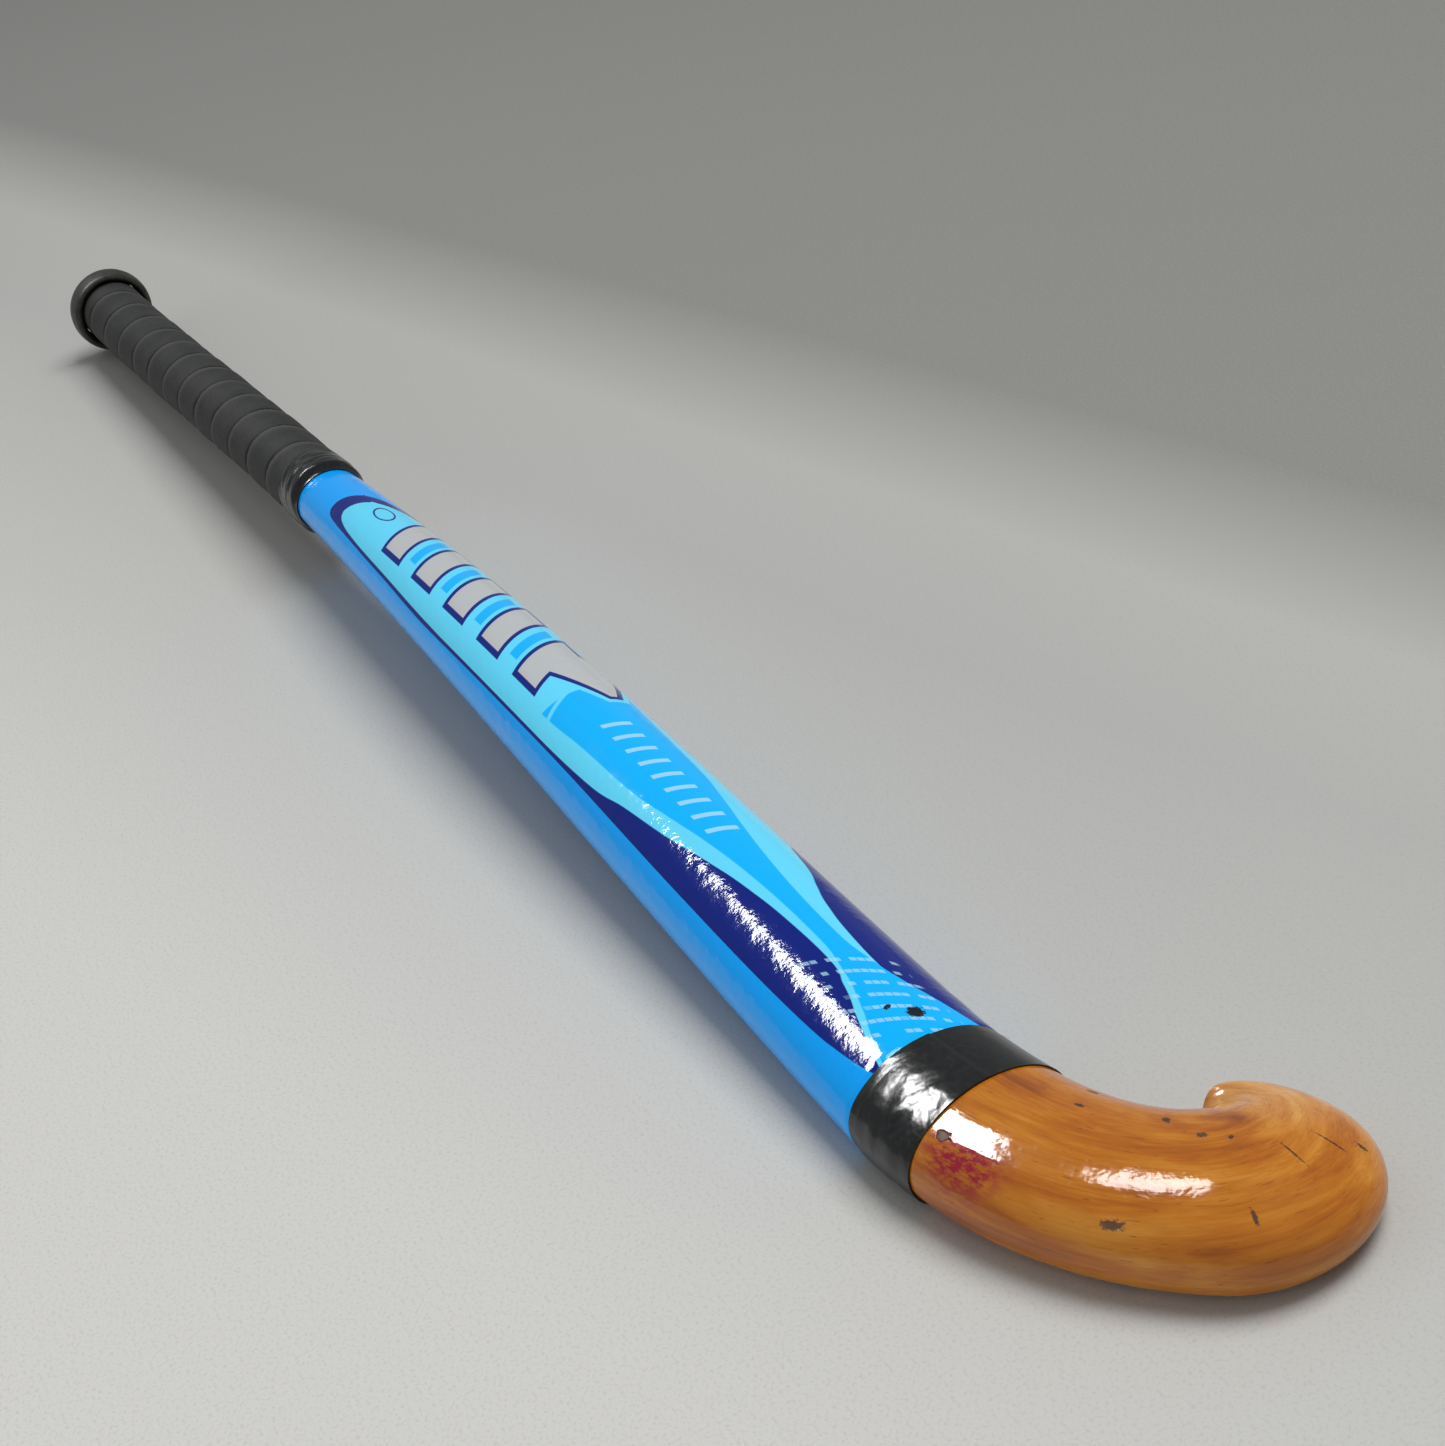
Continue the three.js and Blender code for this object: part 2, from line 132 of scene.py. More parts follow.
# ---- Details that only these fine pieces have ----

AROUND = 96         # points round a fine section
FILM_DIP, WOOD_DIP = 0.1, 0.5    # how far film and wood dip towards the tape, which stands proud
SEAM_RUN = 30       # over what length they dip
SKIN_INSET = 0.28   # keeps the finer outside within the CAD part's box
GLUE_LINE = 0.03    # between the laminations
THINNEST_SHARE = 0.03    # a lamination stops where it would be thinner, in half widths
LAMINATION_POINTS = 14    # across one face of one lamination
GRIP_CREASE = 0.42  # depth of the groove beside each turn's edge, per unit of its profile
GRIP_LUMP = 0.13    # how uneven each turn of the grip is
GRIP_PHASE_X = 8.5  # the turns' edges cross the toe side at every GRIP_PITCH on from this x
TAPE_AROUND = 240   # points round a turn of head tape
TAPE_SEAM = math.pi / 2 - 0.17    # where round the section a turn of head tape ends
TAPE_DENT = 0.16    # how far the head tape dents on its near side
RING_EDGE_ROUNDING, RING_LIP_ROUNDING = 2.6, 2.2
CAP_FLOOR = 3.2     # where the cap's inside begins, from the butt face
SKIRT_INSET = 0.2   # how far the inside of the cap's skirt lies within the throat's radius
TAPE_LAP = 0.8      # how much of its thickness a turn's surface falls over one lap

# ---- Curves of the stick ----


def smooth(value):
    value = np.clip(value, 0, 1)
    return value * value * (3 - 2 * value)


def through(start, middle, end, k):
    """A parabola through three values at k = 0, 0.5 and 1."""
    return start * (1 - k) * (1 - 2 * k) + middle * 4 * k * (1 - k) + end * k * (2 * k - 1)


def along_arcs(arcs, x, y, distance):
    """Points at distances along a chain of tangent arcs that starts at (x, y) along +X."""
    left = np.array(distance, float)
    heading = np.zeros_like(left)
    points = np.stack([np.full_like(left, x), np.full_like(left, y)], -1)
    for radius, turn in arcs:
        length = np.minimum(left, radius * math.radians(turn))
        after = heading + length / radius
        points[:, 0] += radius * (np.sin(after) - np.sin(heading))
        points[:, 1] += radius * (np.cos(heading) - np.cos(after))
        heading, left = after, left - length
    return points


def underside(x):
    t = np.clip((x - RING_CREST) / (TAPE_START - RING_CREST), 0, 1)
    return (RING_DIAMETER - THROAT_HEIGHT) / 2 * (1 - t) + BOW * 16 * t * t * (1 - t) ** 2


def sections(x):
    """The stick's sections at an array of x: two ends in plan, height, base and shape."""
    x = np.asarray(x, float)
    k = np.clip((x - HANDLE_LENGTH) / (TAPE_START - HANDLE_LENGTH), 0, 1)
    width = through(THROAT_WIDTH, WAIST_WIDTH, BLADE_WIDTH, k)
    height = through(THROAT_HEIGHT, WAIST_HEIGHT, BLADE_HEIGHT, k)
    outer = np.stack([x, -width / 2], -1)
    inner = np.stack([x, width / 2], -1)
    run = x - BEND_START + INNER_LEAD
    bent = run > 0
    if bent.any():
        along = BEND_LENGTH * np.tanh(run[bent] / BEND_LENGTH) + NOTCH_CREEP * run[bent]
        arcs = INNER_EDGE + [NOTCH]
        inner[bent] = along_arcs(arcs, BEND_START - INNER_LEAD, BLADE_WIDTH / 2, along)
    run = x - BEND_START
    bent = run > 0
    if bent.any():
        outer[bent] = along_arcs(OUTER_EDGE, BEND_START, -BLADE_WIDTH / 2, run[bent])
        fall = smooth((run[bent] - EDGE_LENGTH + TOE_FALL) / TOE_FALL)
        height[bent] = BLADE_HEIGHT + (TOE_HEIGHT - BLADE_HEIGHT) * fall
    return {
        "x": x,
        "outer": outer,
        "inner": inner,
        "height": height,
        "base": underside(x),
        "widest": 0.5 + (FACE_EDGE_SHARE - 0.5) * k,
        "flat": FACE_FLAT_SHARE * k,
    }


def round_sections(x, diameter):
    """Round sections of the handle, on the same middle line as the throat."""
    x = np.asarray(x, float)
    diameter = np.broadcast_to(np.asarray(diameter, float), x.shape)
    return {
        "x": x,
        "outer": np.stack([x, -diameter / 2], -1),
        "inner": np.stack([x, diameter / 2], -1),
        "height": diameter.copy(),
        "base": underside(x) + (THROAT_HEIGHT - diameter) / 2,
        "widest": np.full_like(x, 0.5),
        "flat": np.zeros_like(x),
    }


def inset(made, depth):
    """The same sections with their skin taken off to a depth."""
    depth = np.broadcast_to(np.asarray(depth, float), made["height"].shape)
    across = made["inner"] - made["outer"]
    across = across / np.linalg.norm(across, axis=1)[:, None]
    return {
        **made,
        "outer": made["outer"] + across * depth[:, None],
        "inner": made["inner"] - across * depth[:, None],
        "height": made["height"] - 2 * depth,
        "base": made["base"] + depth,
    }


def joined(*parts):
    return {key: np.concatenate([part[key] for part in parts]) for key in parts[0]}


def surface(made, v, on_top):
    """Points at places v across the sections, as an array of sections by places."""
    v = np.atleast_2d(v)
    on_top = np.atleast_2d(on_top)
    flat = np.where(on_top, 0, made["flat"][:, None])
    outward = np.clip((np.abs(v) - flat) / (1 - flat), 0, 1)
    rise = np.sqrt(1 - outward * outward)
    middle = (made["widest"] * made["height"])[:, None]
    above = middle + (made["height"][:, None] - middle) * rise
    z = made["base"][:, None] + np.where(on_top, above, middle * (1 - rise))
    share = ((1 + v) / 2)[..., None]
    plan = made["outer"][:, None] * (1 - share) + made["inner"][:, None] * share
    return np.concatenate([plan, z[..., None]], -1)


RING_ANGLES = -math.pi / 2 + 2 * math.pi * np.arange(AROUND) / AROUND


def rings(made):
    """Whole sections as rings that start at the middle of the underside."""
    return surface(made, np.cos(RING_ANGLES), np.sin(RING_ANGLES) > 0)


# ---- Meshes ----


def new_mesh(name, points, faces, sharp=40):
    """An object in the row frame from points in stick millimetres."""
    mesh = bpy.data.meshes.new(name)
    mesh.from_pydata((np.asarray(points) * MM + ORIGIN).tolist(), [], faces)
    mesh.validate()
    mesh.shade_smooth()
    mesh.set_sharp_from_angle(angle=math.radians(sharp))
    made = bpy.data.objects.new(name, mesh)
    bpy.context.scene.collection.objects.link(made)
    return made


def grid_faces(rows, columns, row_loop=False):
    """Quads between rows of points that each close on themselves."""
    faces = []
    for i in range(rows if row_loop else rows - 1):
        a, b = i * columns, ((i + 1) % rows) * columns
        for j in range(columns):
            k = (j + 1) % columns
            faces.append((a + j, a + k, b + k, b + j))
    return faces


def tube(name, outside, bore, sharp=40):
    """A closed tube between an outside and a bore, both stacks of rings."""
    stack = np.concatenate([outside, bore[::-1]])
    count = stack.shape[1]
    faces = grid_faces(len(stack), count, row_loop=True)
    return new_mesh(name, stack.reshape(-1, 3), faces, sharp)


def solid(name, stack, sharp=40):
    """A solid through a stack of rings, with flat ends."""
    rows, count = stack.shape[:2]
    faces = grid_faces(rows, count)
    faces.append(tuple(range(count))[::-1])
    faces.append(tuple(range((rows - 1) * count, rows * count)))
    return new_mesh(name, stack.reshape(-1, 3), faces, sharp)


def point_attribute(made, name, values):
    attribute = made.data.attributes.new(name, "FLOAT_VECTOR", "POINT")
    attribute.data.foreach_set("vector", np.asarray(values, np.float32).ravel())


def finish_piece(made, material, slot, *nodes):
    made.data.materials.append(material)
    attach(made, "root")
    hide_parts(*nodes)
    return made


def stations(start, end, step):
    return np.linspace(start, end, max(2, round((end - start) / step) + 1))


# ---- Shader nodes ----


class Shade:
    """One material's node tree, with a short call for each kind of node."""

    def __init__(self, name):
        self.material = bpy.data.materials.new(name)
        self.material.use_nodes = True
        self.nodes = self.material.node_tree.nodes
        self.links = self.material.node_tree.links
        self.nodes.clear()
        self.coordinates = self.nodes.new("ShaderNodeTexCoord")

    def put(self, socket, value):
        if isinstance(value, bpy.types.NodeSocket):
            self.links.new(value, socket)
        elif value is not None:
            socket.default_value = value

    def math(self, operation, *values, clamp=False):
        node = self.nodes.new("ShaderNodeMath")
        node.operation = operation
        node.use_clamp = clamp
        for socket, value in zip(node.inputs, values):
            self.put(socket, value)
        return node.outputs[0]

    def add(self, a, b):
        return self.math("ADD", a, b)

    def sub(self, a, b):
        return self.math("SUBTRACT", a, b)

    def mul(self, a, b):
        return self.math("MULTIPLY", a, b)

    def both(self, a, b):
        return self.math("MINIMUM", a, b)

    def either(self, a, b):
        return self.math("MAXIMUM", a, b)

    def step(self, value, low, high):
        """0 below low and 1 above high, smooth between. low may be above high."""
        node = self.nodes.new("ShaderNodeMapRange")
        node.interpolation_type = "SMOOTHSTEP"
        self.put(node.inputs["Value"], value)
        for name, number in (("From Min", low), ("From Max", high)):
            self.put(node.inputs[name], number)
        return node.outputs["Result"]

    def split(self, vector):
        node = self.nodes.new("ShaderNodeSeparateXYZ")
        self.put(node.inputs[0], vector)
        return node.outputs

    def join(self, x, y, z=0.0):
        node = self.nodes.new("ShaderNodeCombineXYZ")
        for socket, value in zip(node.inputs, (x, y, z)):
            self.put(socket, value)
        return node.outputs[0]

    def scaled(self, vector, factors):
        node = self.nodes.new("ShaderNodeVectorMath")
        node.operation = "MULTIPLY"
        self.put(node.inputs[0], vector)
        node.inputs[1].default_value = factors
        return node.outputs[0]

    def here(self):
        """Where the surface is in the row frame, in millimetres."""
        return self.scaled(self.coordinates.outputs["Object"], (1000, 1000, 1000))

    def attribute(self, name):
        node = self.nodes.new("ShaderNodeAttribute")
        node.attribute_name = name
        return node.outputs["Vector"]

    def layer(self, name):
        node = self.nodes.new("ShaderNodeUVMap")
        node.uv_map = name
        return node.outputs["UV"]

    def noise(self, vector, scale, detail=3, roughness=0.5, distortion=0.0):
        node = self.nodes.new("ShaderNodeTexNoise")
        self.put(node.inputs["Vector"], vector)
        node.inputs["Scale"].default_value = scale
        node.inputs["Detail"].default_value = detail
        node.inputs["Roughness"].default_value = roughness
        node.inputs["Distortion"].default_value = distortion
        return node.outputs[0]

    def cells(self, vector):
        """A random value for each whole-number cell."""
        floor = self.nodes.new("ShaderNodeVectorMath")
        floor.operation = "FLOOR"
        self.put(floor.inputs[0], vector)
        node = self.nodes.new("ShaderNodeTexWhiteNoise")
        node.noise_dimensions = "2D"
        self.links.new(floor.outputs[0], node.inputs["Vector"])
        return node.outputs["Value"]

    def mix(self, factor, a, b):
        node = self.nodes.new("ShaderNodeMix")
        node.data_type = "RGBA"
        self.put(node.inputs[0], factor)
        self.put(node.inputs[6], (*a, 1) if isinstance(a, tuple) else a)
        self.put(node.inputs[7], (*b, 1) if isinstance(b, tuple) else b)
        return node.outputs[2]

    def ramp(self, factor, stops):
        node = self.nodes.new("ShaderNodeValToRGB")
        self.put(node.inputs[0], factor)
        elements = node.color_ramp.elements
        while len(elements) < len(stops):
            elements.new(0.5)
        for element, (place, colour) in zip(elements, stops):
            element.position = place
            element.color = (*colour, 1)
        return node.outputs[0]

    def curve(self, value, points):
        """A smooth curve through points of (input, output), both real numbers."""
        xs, ys = [p[0] for p in points], [p[1] for p in points]
        low, high = xs[0], xs[-1]
        bottom, top = min(ys), max(ys)
        node = self.nodes.new("ShaderNodeFloatCurve")
        self.put(node.inputs["Value"], self.step_linear(value, low, high))
        curve = node.mapping.curves[0]
        while len(curve.points) < len(points):
            curve.points.new(0.5, 0.5)
        for point, x, y in zip(curve.points, xs, ys):
            point.location = ((x - low) / (high - low), (y - bottom) / (top - bottom))
            point.handle_type = "AUTO_CLAMPED"
        node.mapping.update()
        return self.add(self.mul(node.outputs[0], top - bottom), bottom)

    def step_linear(self, value, low, high):
        """How far a value is from low to high: 0 at low and 1 at high."""
        node = self.nodes.new("ShaderNodeMapRange")
        self.put(node.inputs["Value"], value)
        node.inputs["From Min"].default_value = low
        node.inputs["From Max"].default_value = high
        return node.outputs["Result"]

    def bump(self, height, distance, normal=None):
        node = self.nodes.new("ShaderNodeBump")
        self.put(node.inputs["Height"], height)
        node.inputs["Distance"].default_value = distance * MM
        if normal is not None:
            self.put(node.inputs["Normal"], normal)
        return node.outputs[0]

    def finish(self, colour, roughness, normal=None, specular_ior_level=0.5):
        """Ends the tree in a Principled shader. Constants go straight on its sockets."""
        shader = self.nodes.new("ShaderNodeBsdfPrincipled")
        output = self.nodes.new("ShaderNodeOutputMaterial")
        self.put(shader.inputs["Base Color"], (*colour, 1) if isinstance(colour, tuple) else colour)
        self.put(shader.inputs["Roughness"], roughness)
        self.put(shader.inputs["Normal"], normal)
        shader.inputs["Specular IOR Level"].default_value = specular_ior_level
        self.links.new(shader.outputs[0], output.inputs["Surface"])
        return self.material


def srgb(red, green, blue):
    """A linear colour from 0 to 255 screen values."""
    def one(value):
        value /= 255
        return value / 12.92 if value <= 0.04045 else ((value + 0.055) / 1.055) ** 2.4

    return (one(red), one(green), one(blue))


# ---- Materials ----


def spot(shade, x, y, place, size):
    """1 at the middle of an oval spot, falling to 0 at its edge."""
    dx = shade.mul(shade.sub(x, place[0]), 1 / size[0])
    dy = shade.mul(shade.sub(y, place[1]), 1 / size[1])
    distance = shade.math("SQRT", shade.add(shade.mul(dx, dx), shade.mul(dy, dy)))
    return shade.math("SUBTRACT", 1, distance, clamp=True)


def varnished_wood():
    """Bent mulberry under gloss varnish. The grain follows the bend."""
    shade = Shade("varnished_mulberry")
    grain = shade.attribute("grain")
    run, across, _ = shade.split(grain)
    streaks = shade.noise(shade.scaled(grain, (0.014, 0.16, 0.16)), 1, 5, 0.6, 0.6)
    fibres = shade.noise(shade.scaled(grain, (0.07, 1.5, 1.5)), 1, 4, 0.6)
    blotch = shade.noise(shade.scaled(grain, (0.03, 0.07, 0.07)), 1, 2)
    tone = shade.add(shade.mul(streaks, 0.62), shade.mul(fibres, 0.2))
    tone = shade.add(tone, shade.mul(blotch, 0.3))
    warm = shade.ramp(tone, [
        (0.36, srgb(134, 68, 12)),
        (0.50, srgb(174, 96, 16)),
        (0.60, srgb(190, 116, 26)),
        (0.74, srgb(208, 142, 52)),
    ])
    pale = shade.ramp(tone, [
        (0.40, srgb(176, 112, 56)),
        (0.55, srgb(208, 146, 78)),
        (0.72, srgb(228, 176, 108)),
    ])
    toe = shade.step(shade.add(run, shade.mul(across, 0.9)), 962, 1012)
    colour = shade.mix(toe, warm, pale)
    pores = shade.noise(shade.scaled(grain, (0.16, 1.9, 1.9)), 1, 2, 0.5)
    colour = shade.mix(shade.mul(shade.step(pores, 0.66, 0.74), 0.55), colour, srgb(84, 40, 16))

    ragged = shade.noise(shade.scaled(grain, (0.25, 0.6, 0.6)), 1, 4, 0.7)
    red = shade.mul(spot(shade, run, across, (851, -17.5), (19, 9)), shade.step(ragged, 0.38, 0.6))
    colour = shade.mix(shade.math("MULTIPLY", red, 1.9, clamp=True), colour, srgb(150, 16, 44))

    marks = [
        ((841, -15.5), (4.5, 2.2)), ((919, 11.5), (4, 2.2)), ((936, 5), (4.5, 1.4)),
        ((948, 2), (2, 1.2)), ((901, -21.3), (6, 1.5)), ((940, -21.8), (1, 3)),
        ((1008, -19.5), (1.4, 3.2)), ((985, -20.5), (1.2, 2.4)), ((872, 9), (3.5, 1.2)),
        ((963, -10), (0.6, 7)), ((978, -14), (0.6, 8)), ((866, 18), (5, 1)),
    ]
    worn = None
    for place, size in marks:
        mark = spot(shade, run, across, place, size)
        worn = mark if worn is None else shade.either(worn, mark)
    fine = shade.noise(shade.scaled(grain, (0.6, 1.2, 1.2)), 1, 4, 0.75)
    dents = shade.step(shade.add(worn, shade.mul(shade.sub(fine, 0.5), 1.7)), 0.3, 0.6)
    colour = shade.mix(shade.mul(dents, 0.85), colour, srgb(40, 20, 14))

    scratch = shade.noise(shade.scaled(grain, (0.9, 0.10, 0.4)), 1, 3, 0.8)
    rough = shade.add(shade.mul(shade.step(scratch, 0.58, 0.75), 0.16), 0.09)
    rough = shade.either(rough, shade.mul(dents, 0.55))
    ripple = shade.noise(shade.scaled(grain, (0.09, 0.14, 0.14)), 1, 3, 0.55)
    normal = shade.bump(ripple, 0.24)
    normal = shade.bump(fibres, 0.018, normal)
    normal = shade.bump(shade.math("SUBTRACT", 1, dents), 0.25, normal)
    return shade.finish(colour, rough, normal, specular_ior_level=0.6)


MID_LINE = 4.5      # the print is laid out to both sides of this s
SKY = srgb(0, 164, 255)
MID_BLUE = srgb(0, 180, 255)
CYAN = srgb(98, 216, 252)
NAVY = srgb(8, 32, 124)
SILVER = srgb(186, 190, 192)


def bars(shade, x, s, first, pitch, count, length, low, high, slant):
    """How deep a place is inside a row of slanted bars, in millimetres. Negative outside."""
    leaned = shade.sub(x, shade.mul(s, slant))
    cell = shade.mul(shade.sub(leaned, first), 1 / pitch)
    index = shade.math("FLOOR", cell)
    within = shade.mul(shade.sub(cell, index), pitch)
    deep = shade.both(within, shade.sub(length, within))
    deep = shade.both(deep, shade.both(shade.sub(s, low), shade.sub(high, s)))
    inside = shade.both(shade.sub(leaned, first), shade.sub(first + pitch * count, leaned))
    return shade.both(deep, inside)


def printed_film():
    """Glossy blue film with navy and cyan bands that taper towards the head."""
    shade = Shade("printed_film")
    x, s, _ = shade.split(shade.layer("place"))
    off_middle = shade.math("ABSOLUTE", shade.sub(s, MID_LINE))
    lean = shade.math("MAXIMUM", shade.add(s, 7), 0.0)
    loop_x = shade.sub(x, shade.mul(shade.mul(lean, lean), 0.06))
    outer = shade.curve(loop_x, [
        (370, 0), (378, 0), (380, 13), (386, 16), (411, 18), (450, 20.2), (510, 22.6),
        (600, 22.6), (700, 23.4), (770, 22.6), (800, 20), (812, 17),
    ])
    cyan_edge = shade.curve(loop_x, [
        (370, 0), (388, 0), (390, 10), (397, 14.6), (412, 16.6), (450, 18.8), (510, 21.2),
        (590, 21.4), (630, 20.4), (654, 17.2), (678, 14.2), (700, 10.4), (718, 7.6),
        (740, 5.6), (756, 5.1), (772, 7.2), (790, 12), (812, 18),
    ])
    mid_edge = shade.curve(x, [
        (588, 0), (590, 15.2), (620, 13.6), (650, 12.4), (672, 9.6), (692, 6.6), (712, 4.4),
        (735, 3.1), (752, 2.9), (768, 4.4), (782, 7.4), (796, 12), (812, 17),
    ])
    below = shade.sub(34, shade.math("ABSOLUTE", s))

    def within(edge):
        return shade.step(shade.both(shade.sub(edge, off_middle), below), 0, 0.35)

    colour = shade.mix(within(outer), SKY, NAVY)
    colour = shade.mix(within(cyan_edge), colour, CYAN)
    past = shade.step(x, 589.8, 590.1)
    colour = shade.mix(shade.mul(within(mid_edge), past), colour, MID_BLUE)

    # A row of slanted bars, silver with navy edges, and blue panels between them
    big = bars(shade, x, s, 433, 31, 5, 19, -8.5, 19, -0.55)
    panel = bars(shade, x, s, 456, 31, 4, 6, -4, 14, -0.55)
    spike = shade.both(
        shade.both(shade.sub(s, -3), shade.sub(600, x)),
        shade.sub(shade.mul(shade.sub(606, x), 0.42), shade.math("ABSOLUTE", shade.sub(s, 13))),
    )
    spike = shade.both(spike, shade.sub(x, 560))
    big = shade.either(big, spike)
    colour = shade.mix(shade.step(big, -2.2, -1.9), colour, CYAN)
    colour = shade.mix(shade.step(panel, 0, 0.3), colour, MID_BLUE)
    colour = shade.mix(shade.step(big, 0, 0.3), colour, NAVY)
    silver = shade.mul(shade.noise(shade.join(x, s), 2.2, 2), 0.12)
    metal = shade.mix(silver, SILVER, (0.3, 0.3, 0.32))
    colour = shade.mix(shade.step(big, 2.2, 2.5), colour, metal)

    # A small ring near the grip
    dx, ds = shade.mul(shade.sub(x, 412), 0.42), shade.sub(s, 3.5)
    radius = shade.math("SQRT", shade.add(shade.mul(dx, dx), shade.mul(ds, ds)))
    ring = shade.sub(0.45, shade.math("ABSOLUTE", shade.sub(radius, 3.2)))
    colour = shade.mix(shade.step(ring, 0, 0.3), colour, NAVY)

    # A row of small pale ticks, and rows of short dashes before the head
    ticks = bars(shade, x, s, 614, 9, 9, 2.6, 0, 9.5, 0.3)
    colour = shade.mix(shade.mul(shade.step(ticks, 0, 0.3), 0.75), colour, srgb(170, 222, 240))
    rows = shade.mul(shade.sub(x, shade.add(shade.mul(s, 0.7), 760)), 1 / 6.4)
    dashes = shade.mul(s, 0.55)
    kept = shade.cells(shade.join(rows, dashes))
    row_part = shade.math("FRACT", rows)
    dash_part = shade.math("FRACT", dashes)
    dash = shade.both(
        shade.both(shade.sub(row_part, 0.3), shade.sub(0.62, row_part)),
        shade.both(shade.mul(shade.sub(dash_part, 0.12), 0.6), shade.sub(kept, 0.3)),
    )
    wide = shade.sub(12, shade.math("ABSOLUTE", shade.sub(s, 3)))
    block = shade.both(shade.both(rows, shade.sub(7, rows)), wide)
    dash = shade.both(dash, block)
    colour = shade.mix(shade.mul(shade.step(dash, 0, 0.05), 0.55), colour, srgb(178, 226, 250))

    # Chips along the flanks and a dark scuff near the tape
    place = shade.join(x, s)
    chips = shade.noise(shade.scaled(place, (0.35, 0.5, 1)), 1, 4, 0.75)
    flank = shade.step(shade.math("ABSOLUTE", s), 17, 24)
    chip = shade.mul(shade.step(chips, 0.70, 0.73), shade.add(shade.mul(flank, 0.6), 0.1))
    colour = shade.mix(chip, colour, srgb(20, 40, 90))
    rag = shade.noise(shade.scaled(place, (0.9, 0.9, 1)), 1, 3, 0.7)
    large = spot(shade, x, s, (796, 6.5), (5, 4.5))
    scuff = shade.either(large, spot(shade, x, s, (790, 1.5), (2, 2)))
    scuff = shade.step(shade.mul(scuff, rag), 0.22, 0.27)
    colour = shade.mix(scuff, colour, srgb(12, 14, 22))

    peel = shade.noise(place, 0.16, 3, 0.55)
    peel = shade.add(peel, shade.mul(shade.noise(place, 0.5, 3, 0.6), 0.22))
    normal = shade.bump(peel, 0.26)
    normal = shade.bump(chip, -0.03, normal)
    haze = shade.noise(shade.scaled(place, (0.02, 0.3, 1)), 1, 3, 0.6)
    rough = shade.add(shade.mul(haze, 0.10), 0.04)
    rough = shade.either(rough, shade.mul(scuff, 0.6))
    return shade.finish(colour, rough, normal, specular_ior_level=0.27)


def grip_leather():
    shade = Shade("grip_polyurethane")
    place = shade.here()
    turn = shade.split(shade.attribute("turn"))[0]
    fine = shade.noise(place, 1.6, 4, 0.65)
    broad = shade.noise(place, 0.09, 3, 0.6)
    colour = shade.ramp(shade.add(shade.mul(fine, 0.5), shade.mul(broad, 0.5)), [
        (0.35, srgb(38, 39, 39)),
        (0.65, srgb(58, 59, 58)),
    ])
    # Painted highlight: a pale band along the raised edge of each turn.
    edge = shade.step(turn, 0.22, 0.0)
    colour = shade.mix(shade.mul(edge, 0.5), colour, srgb(92, 91, 88))
    # Painted shade: the groove beside each turn's edge is darkened nearly to black.
    crease = shade.step(turn, 0.84, 0.97)
    colour = shade.mix(shade.mul(crease, 0.92), colour, srgb(14, 14, 15))
    normal = shade.bump(fine, 0.10)
    normal = shade.bump(shade.noise(place, 0.35, 2), 0.25, normal)
    rough = shade.add(shade.mul(broad, 0.2), 0.58)
    return shade.finish(colour, rough, normal, specular_ior_level=0.18)


def vinyl_tape(name, crumple):
    """Black tape. crumple is how deep its wrinkles are, in millimetres."""
    shade = Shade(name)
    place = shade.here()
    x, y, _ = shade.split(place)
    dust = shade.noise(place, 0.5, 5, 0.7)
    colour = shade.ramp(dust, [
        (0.40, srgb(15, 17, 18)),
        (0.62, srgb(24, 26, 26)),
        (0.78, srgb(50, 54, 52)),
    ])
    folds = shade.noise(place, 0.06, 2, 0.45, 0.9)
    dimples = shade.noise(place, 0.22, 2, 0.5)
    flank = shade.step(y, -18, -27)
    deep = shade.add(shade.mul(flank, 0.85), 0.15)
    height = shade.mul(shade.add(folds, shade.mul(dimples, 0.2)), deep)
    normal = shade.bump(height, crumple)
    normal = shade.bump(dust, 0.03, normal)
    rough = shade.add(shade.mul(dust, 0.26), 0.08)
    return shade.finish(colour, rough, normal, specular_ior_level=0.5)


def butt_rubber():
    shade = Shade("butt_rubber")
    place = shade.here()
    rub = shade.noise(place, 0.25, 4, 0.65)
    colour = shade.ramp(rub, [
        (0.35, srgb(26, 28, 24)),
        (0.60, srgb(44, 46, 38)),
        (0.75, srgb(66, 66, 54)),
    ])
    grit = shade.noise(place, 2.4, 3, 0.6)
    normal = shade.bump(grit, 0.05)
    return shade.finish(colour, shade.add(shade.mul(rub, 0.3), 0.32), normal)


def cane():
    shade = Shade("cane")
    place = shade.here()
    fibres = shade.noise(shade.scaled(place, (0.02, 1.6, 1.6)), 1, 4, 0.6)
    colour = shade.ramp(fibres, [(0.35, srgb(176, 142, 88)), (0.65, srgb(226, 200, 150))])
    return shade.finish(colour, 0.7, shade.bump(fibres, 0.1))


def strip_rubber():
    shade = Shade("strip_rubber")
    grit = shade.noise(shade.here(), 1.8, 3, 0.6)
    colour = shade.ramp(grit, [(0.3, srgb(30, 30, 29)), (0.7, srgb(54, 52, 50))])
    return shade.finish(colour, 0.8, shade.bump(grit, 0.05))


def twine():
    """Cord wound closely round the handle."""
    shade = Shade("twine")
    place = shade.here()
    x, _, _ = shade.split(place)
    winding = shade.math("SINE", shade.mul(x, 2 * math.pi / 1.4))
    fluff = shade.noise(place, 1.4, 4, 0.7)
    tone = shade.add(shade.mul(winding, 0.2), fluff)
    colour = shade.ramp(tone, [(0.25, srgb(150, 138, 110)), (0.7, srgb(220, 212, 188))])
    return shade.finish(colour, 0.9, shade.bump(tone, 0.3))


